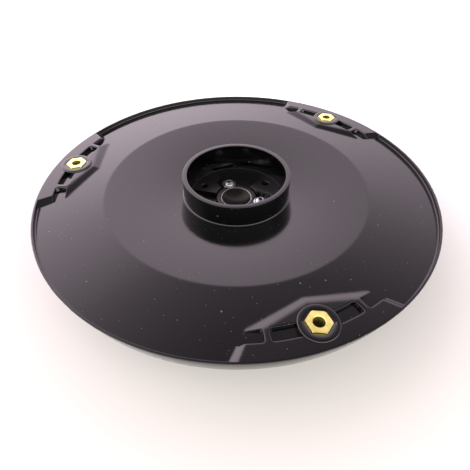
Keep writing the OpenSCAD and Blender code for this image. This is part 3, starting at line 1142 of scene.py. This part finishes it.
class Workshop:
    """Holds the built materials, and dresses new pieces and CAD nodes with them."""

    def __init__(self) -> None:
        """Builds every finish once."""
        self.materials = {slot: finish.material() for slot, finish in FINISHES.items()}

    def dress(self, piece: bpy.types.Object, body: str, slot: str, *nodes: str) -> None:
        """Gives a new piece its slot's material and body, and hides the CAD nodes it replaces.

        Args:
            piece: The new piece, in its place.
            body: The CAD body that it rides on.
            slot: The record's material slot.
            nodes: The CAD nodes that it replaces.
        """
        piece.data.materials.clear()
        piece.data.materials.append(self.materials[slot])
        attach(piece, body)
        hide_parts(*nodes)
        log.info("%s: %d faces", piece.name, len(piece.data.polygons))

    def dress_nodes(self) -> None:
        """Gives every CAD node that still shows its slot's material."""
        for part in frame["record"]["subparts"]:
            node = frame["nodes"][part["node"]]
            if node.hide_render:
                continue
            node.data.materials.clear()
            node.data.materials.append(self.materials[part["material_slot"]])
            log.info("%s: CAD node, %s", node.name, part["material_slot"])


# ---- Fastenings and inlet -----------------------------------------------------------------------


@dataclass
class ThreadInserts:
    """Three hexagonal brass inserts with an M8 thread and a knurled body."""

    flats: float = INSERT_FLATS
    top: float = 41.5
    head: float = 4.0
    length: float = 12.5
    body_r: float = 5.3
    core_r: float = 3.4
    pitch: float = 1.25
    thread: float = 0.45
    knurls: int = 24
    knurl_depth: float = 0.12
    thread_rows: int = 78
    chamfer: float = 0.35
    run_out: float = 0.5

    def shape(self, r: Array, z: Array, t: Array) -> Array:
        """Hexagon at the head, knurls on the body and a helical thread in the bore.

        The thread's radius is core + depth * tri(z / pitch - t / turn), where tri is a
        triangle wave; the knurl is a cosine of the angle.

        Args:
            r: Radii of the grid.
            z: Its heights.
            t: Its angles.

        Returns:
            The changed radii.
        """
        hexed = np.minimum(r, hexagon(self.flats, t))
        knurled = r + self.knurl_depth * np.cos(self.knurls * t)
        phase = (z / self.pitch - t / TURN) % 1
        fade = np.clip((self.top - self.run_out - z) / self.run_out, 0, 1)
        threaded = r + self.thread * fade * (1 - np.abs(2 * phase - 1))
        low = z < self.top - self.head - 0.05
        return np.where(r < self.core_r + 0.05, threaded,
                        np.where(r > self.body_r + 0.2, hexed,
                                 np.where(low & (r > self.body_r - 0.1), knurled, r)))

    def build(self) -> bpy.types.Object:
        """Makes the three inserts.

        Returns:
            One mesh: an outline turned about each insert's axis, and changed by shape.
        """
        base = self.top - self.head
        low = self.top - self.length
        corner = corner_of(self.flats)
        outside = [(self.core_r + 0.4, self.top), (corner - self.chamfer, self.top),
                   (corner, self.top - self.chamfer), (corner, base), (self.body_r, base),
                   (self.body_r, low + 0.5), (self.body_r - 0.5, low), (self.core_r + 0.5, low)]
        heights = np.linspace(low + 0.4, self.top - self.run_out, self.thread_rows)
        bore = [(self.core_r, z) for z in heights]
        places = [place @ turned(turn) for place, turn in zip(INSERTS.places(), INSERT_TURNS)]
        mesh = Mesher().lathe_all(np.array(outside + bore), HEX_TURN, places, self.shape)
        made = mesh.build("brass_inserts", sharp=HARD_EDGE)
        # painted shade inside the threaded bores
        paint_recess_shade(made, INSERTS.centres(), self.core_r + 0.47, (low, self.top - 0.3))
        return made


@dataclass
class HubScrews:
    """Three domed screws with a hexagonal recess, on plain washers."""

    seat: float = 23.6
    washer_r: float = 5.6
    washer_in: float = 2.65
    washer_t: float = 0.6
    head_r: float = 4.6
    head_h: float = 2.45
    recess: float = 3.0
    recess_depth: float = 1.7
    shank_r: float = 2.1
    low: float = 14.4
    band: float = 0.35

    def build(self) -> bpy.types.Object:
        """Makes the three screws.

        Returns:
            One mesh: domes of a quarter ellipse above a band, each with a hexagonal recess.
        """
        base = self.seat + self.washer_t
        top = base + self.head_h
        mouth = corner_of(self.recess)
        dome_h = self.head_h - self.band
        dome = [(self.head_r * math.cos(a), base + self.band + dome_h * math.sin(a))
                for a in np.radians([68, 55, 42, 30, 18, 8, 0])]
        sunk = top - self.recess_depth
        outline = [(0.001, sunk - 0.25), (mouth * 0.5, sunk - 0.1), (mouth, sunk),
                   (mouth, top - 0.12), (mouth + 0.2, top - 0.01), *dome,
                   (self.head_r, base + 0.12), (self.head_r - 0.12, base), (self.shank_r, base),
                   (self.shank_r, self.low + 0.4), (self.shank_r - 0.4, self.low),
                   (0.001, self.low)]

        def shape(r: Array, z: Array, t: Array) -> Array:
            """Hexagonal where the recess is, and round elsewhere."""
            inner = (z > base) & (r < mouth + 0.05) & (r > 0.01)
            return np.where(inner, hexagon(self.recess, t) * r / mouth, r)

        mesh = Mesher().lathe_all(np.array(outline), SMALL_TURN, HUB_SCREWS.places(), shape)
        made = mesh.build("hub_screw_heads", sharp=SOFT_EDGE)
        # painted shade inside the hexagonal recesses
        paint_recess_shade(made, HUB_SCREWS.centres(), mouth + 0.02, (base, top - 0.2))
        return made

    def washers(self) -> bpy.types.Object:
        """Makes the three washers.

        Returns:
            One mesh: a rectangle with rounded corners, turned about each screw's axis.
        """
        low, high = self.seat, self.seat + self.washer_t
        outline = filleted([(self.washer_in, high, 0.08), (self.washer_r, high, 0.18),
                            (self.washer_r, low, 0.1), (self.washer_in, low, 0.05)])
        mesh = Mesher().lathe_all(outline, SMALL_TURN, HUB_SCREWS.places())
        return mesh.build("plain_washers", sharp=SOFT_EDGE)


@dataclass
class InletPlug:
    """A dished metal plug with a thin rolled edge, and a groove for its ring seal."""

    edge_z: float = 25.0
    edge_r: float = 12.45
    dish_r: float = 11.5
    dish_h: float = 2.7
    body_r: float = 10.85
    low: float = 21.05
    groove_z: float = 22.2
    groove_half: float = 0.6
    groove_depth: float = 1.0

    def build(self) -> bpy.types.Object:
        """Makes the plug: its dish is a shallow sphere, z = c - sqrt(R^2 - r^2).

        Returns:
            One turned mesh.
        """
        ball = (self.dish_r ** 2 + self.dish_h ** 2) / 2 / self.dish_h
        r = np.linspace(0.001, self.dish_r, 22)
        dish = np.stack([r, self.edge_z - self.dish_h + ball - np.sqrt(ball ** 2 - r ** 2)], -1)
        lip = arc((self.edge_r - 0.3, self.edge_z - 0.1), 0.3, 110, 0, 5)
        bed = self.body_r - self.groove_depth
        above, below = self.groove_z + self.groove_half, self.groove_z - self.groove_half
        rest = np.array([(self.edge_r, self.edge_z - 0.45), (self.body_r, self.edge_z - 0.5),
                         (self.body_r, above), (bed, above), (bed, below), (self.body_r, below),
                         (self.body_r, self.low + 0.3), (self.body_r - 0.3, self.low),
                         (0.001, self.low)])
        mesh = Mesher()
        mesh.lathe(np.vstack([dish, lip, rest]), PLUG_TURN)
        return mesh.build("dished_inlet_plug", sharp=SOFT_EDGE)


# ---- Swivel and spray rotor ---------------------------------------------------------------------


@dataclass
class SprayRotor:
    """The manifold, and two rising arms with their nuts, holders and nozzles."""

    azimuth: float = 24.0
    manifold_r: float = 20.0
    manifold_low: float = 1.6
    manifold_top: float = 7.5
    seat_r: float = 8.5
    groove_r: float = 9.7
    arm_r: float = 2.5
    arm_bore: float = 1.7
    arm_in: float = 5.0
    arm_z: float = 4.8
    rise: float = 5.4
    nozzle_at: float = 112.0
    gland_flats: float = 8.0
    lock_flats: float = 9.0
    holder_r: float = 6.5
    holder_h: float = 14.0
    gland_at: tuple[float, float] = (0.6, 6.6)
    lock_back: tuple[float, float] = (6.0, 1.5)
    nozzle_flats: float = 8.5

    @property
    def run(self) -> float:
        """Length from the manifold's face to the nozzle's axis, along the arm."""
        return (self.nozzle_at - self.manifold_r) / math.cos(math.radians(self.rise))

    @property
    def holder_low(self) -> float:
        """Height of a nozzle holder's lower face."""
        climb = (self.nozzle_at - self.manifold_r) * math.tan(math.radians(self.rise))
        return self.arm_z + climb - self.holder_h / 2

    def arm_places(self) -> list[Array]:
        """Frame of each arm: its Z axis runs out along the arm, from the manifold's face."""
        start = (self.manifold_r, 0, self.arm_z)
        return [turned(self.azimuth + 180 * k, start, 90 - self.rise) for k in range(2)]

    def nozzle_places(self) -> list[Array]:
        """Frame of each nozzle: upright, at the holder's lower face."""
        start = (self.nozzle_at, 0, self.holder_low)
        return [turned(self.azimuth + 180 * k, start) for k in range(2)]

    def arm(self, k: int) -> bpy.types.Object:
        """Makes one tube, with a rolled bead where its gland nut grips it.

        Args:
            k: Which arm, 0 or 1.

        Returns:
            An outline turned about the arm's axis.
        """
        far = self.run - 3
        bead = [(self.arm_r, 7.4), (self.arm_r + 0.35, 7.7), (self.arm_r + 0.35, 8.3),
                (self.arm_r, 8.6)]
        stem = [(self.arm_r, z) for z in np.linspace(10, far - 14, 12)]
        outline = [(self.arm_bore, far), (self.arm_r - 0.2, far), (self.arm_r, far - 0.2),
                   *stem[::-1], *bead[::-1], (self.arm_r, -self.arm_in + 0.2),
                   (self.arm_r - 0.2, -self.arm_in), (self.arm_bore, -self.arm_in)]
        mesh = Mesher()
        mesh.lathe(np.array(outline), TUBE_TURN, self.arm_places()[k])
        return mesh.build("arm_tube_" + "ab"[k], sharp=SOFT_EDGE)

    @staticmethod
    def nut(flats: float, low: float, high: float, bore: float) -> tuple[Array, Callable]:
        """A hexagonal nut with its corners turned off at both ends.

        Args:
            flats: Width across the flats.
            low: Where it starts along its axis.
            high: Where it ends.
            bore: Radius of its bore.

        Returns:
            Its outline, and the function that makes the outline hexagonal.
        """
        corner = corner_of(flats)
        cut = (corner - flats / 2) * 0.6
        outline = np.array([(bore, high - 0.25), (bore + 0.25, high), (flats / 2 - 0.1, high),
                            (corner, high - cut), (corner, low + cut), (flats / 2 - 0.1, low),
                            (bore + 0.25, low), (bore, low + 0.25)])

        def shape(r: Array, z: Array, t: Array) -> Array:
            """The lower of the round outline and the hexagon."""
            return np.where(r > bore + 0.3, np.minimum(r, hexagon(flats, t)), r)

        return outline, shape

    def nuts(self, name: str, flats: float, low: float, high: float) -> bpy.types.Object:
        """Makes the nuts of one kind, one on each arm, between two places along it."""
        outline, shape = self.nut(flats, low, high, self.arm_r + 0.02)
        mesh = Mesher().lathe_all(outline, HEX_TURN, self.arm_places(), shape)
        return mesh.build(name, sharp=HARD_EDGE)

    def holders(self) -> bpy.types.Object:
        """Makes the two nozzle holders: turned blocks with rounded ends, a waist and a socket.

        Returns:
            One mesh: an outline turned about each nozzle's axis.
        """
        r, high = self.holder_r, self.holder_h
        outline = filleted([(2.98, 0, 0.1), (2.98, 6.5, 0), (0.002, 6.6, 0), (0.002, high, 0),
                            (r, high, 0.9), (r, high - 2.3, 0.15), (r - 0.35, high - 2.6, 0.1),
                            (r - 0.35, 2.6, 0.1), (r, 2.3, 0.15), (r, 0, 0.6)])
        mesh = Mesher().lathe_all(outline, HEX_TURN, self.nozzle_places())
        return mesh.build("nozzle_holder_blocks", sharp=SOFT_EDGE)

    def nozzles(self) -> bpy.types.Object:
        """Makes the two nozzles: plain stem, hexagon, and a tip that a slot cuts across.

        Returns:
            One mesh: an outline turned about each nozzle's axis, and changed by shape.
        """
        slot_turn, slot_half, slot_top, slot_r = 0.35, 0.26, -5.2, 2.45
        outline = np.array([(1.4, 4.0), (2.7, 4.0), (2.95, 3.7), (2.95, 0.05), (4.9, 0.0),
                            (4.9, -3.4), (4.35, -4.0), (2.6, -4.05), (2.6, -5.3), (2.4, -5.5),
                            (1.5, -5.5), (0.6, -5.0), (0.6, -4.6), (1.4, -3.6)])

        def shape(r: Array, z: Array, t: Array) -> Array:
            """Hexagonal where the nozzle is widest, and drawn in where the slot crosses the tip."""
            grip = np.where(r > 3.2, np.minimum(r, hexagon(self.nozzle_flats, t)), r)
            slot = (np.abs(np.sin(t - slot_turn)) < slot_half) & (z < slot_top)
            return np.where(slot, np.minimum(grip, slot_r), grip)

        mesh = Mesher().lathe_all(outline, HEX_TURN, self.nozzle_places(), shape)
        return mesh.build("fan_nozzles", sharp=HARD_EDGE)

    def manifold(self) -> bpy.types.Object:
        """Makes the manifold: a disc with a seat for the spindle and a step for its ring seal.

        Returns:
            One turned mesh.
        """
        low, high, r = self.manifold_low, self.manifold_top, self.manifold_r
        outline = filleted([(0.002, low, 0), (0.002, low + 1.2, 0), (self.seat_r, low + 1.2, 0.1),
                            (self.seat_r, high - 1.2, 0), (self.groove_r, high - 1.2, 0),
                            (self.groove_r, high, 0.12), (r, high, 0.5), (r, low, 0.4)])
        mesh = Mesher()
        mesh.lathe(outline, DISC_TURN)
        return mesh.build("turned_manifold", sharp=SOFT_EDGE)

    def build(self, shop: Workshop) -> None:
        """Makes and dresses every visible piece of the rotor.

        Args:
            shop: Holds the materials.
        """
        for k in range(2):
            shop.dress(self.arm(k), "rotor", "stainless", "spray_arm_" + "ab"[k])
        gland = self.nuts("gland_hex_nuts", self.gland_flats, *self.gland_at)
        shop.dress(gland, "rotor", "brass", "gland_nuts")
        far = self.run - self.holder_r
        lock = self.nuts("lock_hex_nuts", self.lock_flats, *[far - back for back in self.lock_back])
        shop.dress(lock, "rotor", "brass", "lock_nuts")
        shop.dress(self.holders(), "rotor", "aluminium", "nozzle_holders")
        shop.dress(self.nozzles(), "rotor", "stainless", "spray_nozzles")
        shop.dress(self.manifold(), "rotor", "aluminium", "manifold")


# ---- Studio -------------------------------------------------------------------------------------


@dataclass
class Studio:
    """A pale floor, bright surroundings that fade upwards, and the camera."""

    camera_at: tuple[float, float, float] = (-0.00116, -0.2380, 0.2185)
    look_down: float = 44.835
    roll: float = -0.15
    lens: float = 29.0
    sensor: float = 36.0
    back_tint: Colour = (1.0, 0.845, 0.955)
    front_tint: Colour = (1.0, 0.97, 0.94)
    left: float = 1.55
    right: tuple[float, float] = (0.68, 0.3)
    front: float = 3.4
    overhead: float = 0.45
    curve_top: float = 4.0
    gain: float = 3.8
    heights: tuple[tuple[float, float], ...] = (
        (0.0, 2.3), (0.34, 2.55), (0.45, 2.7), (0.54, 2.6), (0.63, 2.15), (0.71, 1.9),
        (0.77, 1.35), (0.82, 0.95), (0.87, 0.72), (0.91, 0.54), (1.0, 0.3))
    floor_half: float = 3.0
    near_paper: Colour = (0.76, 0.735, 0.7)
    far_paper: Colour = (0.8, 0.8, 0.8)
    glow: Colour = (1.0, 0.97, 0.98)
    glow_strength: float = 1.2
    paper_rough: float = 0.85
    paper_specular: float = 0.1

    def camera(self) -> None:
        """Makes the camera and gives it to the scene."""
        data = bpy.data.cameras.new("camera")
        data.sensor_width = self.sensor
        data.lens = self.lens
        data.clip_start = 0.01
        made = bpy.data.objects.new("camera", data)
        bpy.context.scene.collection.objects.link(made)
        made.location = self.camera_at
        lean = Euler((math.radians(90 - self.look_down), 0, 0)).to_matrix()
        spin = Euler((0, 0, math.radians(self.roll))).to_matrix()
        made.rotation_euler = (lean @ spin).to_euler()
        bpy.context.scene.camera = made

    def world(self) -> None:
        """Makes the soft light round the object, as a smooth function of direction.

        Behind the object its strength follows the height of the direction through a curve, and
        falls from left to right; in front it is strong low down and dim overhead.
        """
        world = bpy.data.worlds.new("soft studio")
        bpy.context.scene.world = world
        world.use_nodes = True
        t = Tree(world.node_tree)
        away = t.node("SeparateXYZ", {0: t.node("TexCoord").outputs["Generated"]})
        x, y, z = away.outputs
        curve = t.node("ValToRGB", {0: z})
        elements = curve.color_ramp.elements
        while len(elements) < len(self.heights):
            elements.new(0.5)
        for element, (at, strength) in zip(elements, self.heights):
            element.position = at
            element.color = (*[strength / self.curve_top] * 3, 1)
        curve.color_ramp.interpolation = "B_SPLINE"
        side = t.ramp(x, -0.6, 0.7, self.left, t.ramp(z, 0.5, 0.85, *self.right))
        back = t.math("MULTIPLY", t.math("MULTIPLY", curve.outputs[0], self.gain), side)
        front = t.ramp(z, 0.5, 0.8, self.front, self.overhead)
        strength = t.node("Mix", {0: t.ramp(y, -0.3, 0.1), 2: front, 3: back}).outputs[0]
        colour = t.mix(t.ramp(y, -0.2, 0.3), (*self.front_tint, 1), (*self.back_tint, 1))
        shader = t.tree.nodes["Background"]
        t.tree.links.new(colour, shader.inputs["Color"])
        t.tree.links.new(strength, shader.inputs["Strength"])

    def floor(self) -> None:
        """Makes the floor: a flat sheet that is beige near the camera and overlit behind."""
        span = np.linspace(-self.floor_half, self.floor_half, 13)
        x, y = np.meshgrid(span, span, indexing="ij")
        points = np.stack([x, y, np.zeros_like(x)], -1).reshape(-1, 3)
        n = len(span)
        corner = (np.arange(n - 1)[:, None] * n + np.arange(n - 1)).reshape(-1)
        faces = np.stack([corner, corner + n, corner + n + 1, corner + 1], -1)
        data = bpy.data.meshes.new("floor")
        data.from_pydata(points.tolist(), [], faces.tolist())
        made = bpy.data.objects.new("floor", data)
        bpy.context.scene.collection.objects.link(made)
        material = bpy.data.materials.new("pale paper")
        material.use_nodes = True
        t = Tree(material.node_tree)
        at = t.node("SeparateXYZ", {0: t.node("TexCoord").outputs["Object"]})
        far = t.ramp(at.outputs[1], -0.22, 0.2)
        colour = t.mix(far, (*self.near_paper, 1), (*self.far_paper, 1))
        shader = t.tree.nodes["Principled BSDF"]
        t.tree.links.new(colour, shader.inputs["Base Color"])
        shader.inputs["Roughness"].default_value = self.paper_rough
        shader.inputs["Specular IOR Level"].default_value = self.paper_specular
        shader.inputs["Emission Strength"].default_value = self.glow_strength
        glow = t.mix(t.ramp(at.outputs[1], 0.0, 0.7, 0.025, 1.0), (0, 0, 0, 1), (*self.glow, 1))
        t.tree.links.new(glow, shader.inputs["Emission Color"])
        data.materials.append(material)

    def build(self) -> None:
        """Makes the whole studio."""
        self.camera()
        self.world()
        self.floor()
        bpy.context.scene.view_settings.view_transform = "Standard"


def main() -> None:
    """Builds each sub-assembly in order."""
    Studio().build()
    shop = Workshop()
    shop.dress(Deck().build(), "deck_body", "deck_plastic", "deck")
    shop.dress(ThreadInserts().build(), "deck_body", "brass", "thread_inserts")
    screws = HubScrews()
    shop.dress(screws.build(), "deck_body", "screw_steel", "hub_screws")
    shop.dress(screws.washers(), "deck_body", "screw_steel", "screw_washers")
    shop.dress(InletPlug().build(), "deck_body", "plug_metal", "inlet_plug")
    SprayRotor().build(shop)
    shop.dress_nodes()


if __name__ == "__main__":
    logging.basicConfig(level=logging.INFO, stream=sys.stdout, format="%(message)s")
    main()
